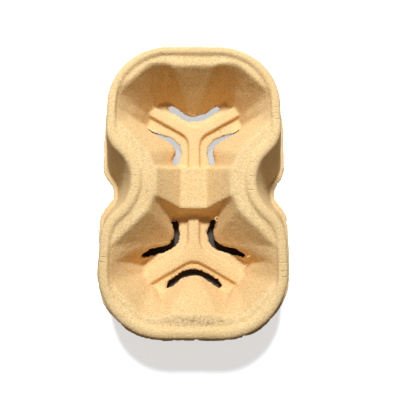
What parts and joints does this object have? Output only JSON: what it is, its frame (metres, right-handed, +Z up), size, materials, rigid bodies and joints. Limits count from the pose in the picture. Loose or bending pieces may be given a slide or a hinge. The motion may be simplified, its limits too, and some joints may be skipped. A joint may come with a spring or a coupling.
{
  "type": "moulded pulp cup carrier",
  "caption": "Carry tray for hot drinks pressed from paper pulp: waisted rim, tapered wells with grip fingers, a star-ribbed floor with slots and a flared skirt.",
  "frame": {"origin": "on the table, under the middle of the saddle between the two wells", "axes": "+Y from well to well, +X across the waist, +Z up"},
  "size_m": [0.153, 0.229, 0.046],
  "materials": {
    "pulp": "matte unbleached moulded paper pulp with fine fibre speckle"
  },
  "bodies": {
    "root": {"cup_carrier": "pulp"}
  },
  "joints": []
}
